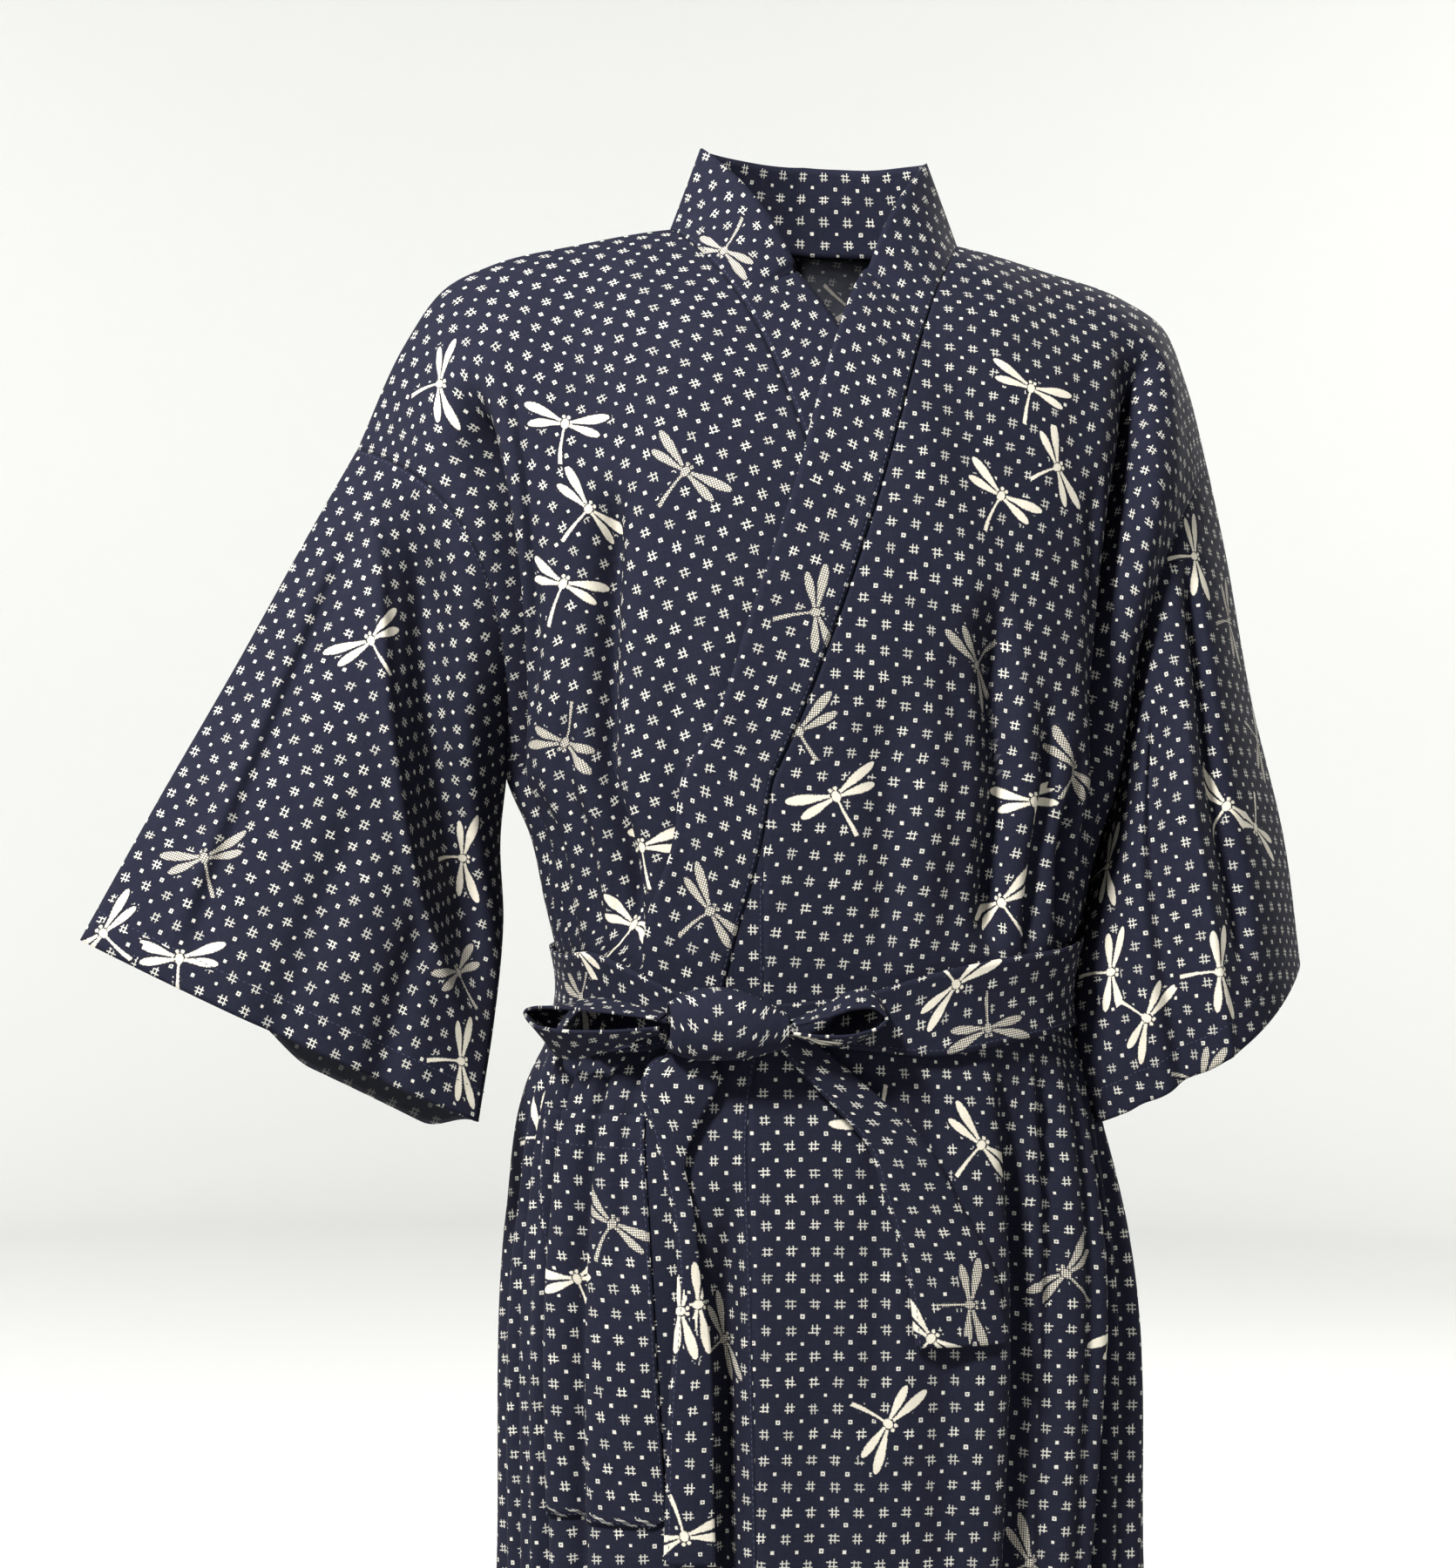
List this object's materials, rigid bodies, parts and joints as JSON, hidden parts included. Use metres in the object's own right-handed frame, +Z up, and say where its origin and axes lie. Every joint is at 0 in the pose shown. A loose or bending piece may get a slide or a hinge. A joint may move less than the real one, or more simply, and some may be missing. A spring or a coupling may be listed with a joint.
{
  "type": "worn cotton kimono with tie belt",
  "caption": "Worn wrap robe with wide short sleeves, a narrow collar band, a patch pocket and a belt tied in a bow at the front.",
  "frame": {"origin": "between the shoulders at the height where the collar meets them", "axes": "+Z up, the front faces -Y, the wearer's left side is +X"},
  "size_m": [0.7729, 0.3016, 1.4153],
  "materials": {
    "cotton": "matt navy plain weave printed with small white marks",
    "belt_cotton": "matt navy plain weave printed with small white marks, folded double"
  },
  "bodies": {
    "root": {"body_right": "cotton", "body_left": "cotton", "okumi_right": "cotton", "okumi_left": "cotton", "collar": "cotton", "sleeve_right": "cotton", "sleeve_left": "cotton", "pocket": "cotton", "belt": "belt_cotton", "belt_knot": "belt_cotton", "bow_loop_right": "belt_cotton", "bow_loop_left": "belt_cotton", "tail_right": "belt_cotton", "tail_left": "belt_cotton"}
  },
  "joints": []
}
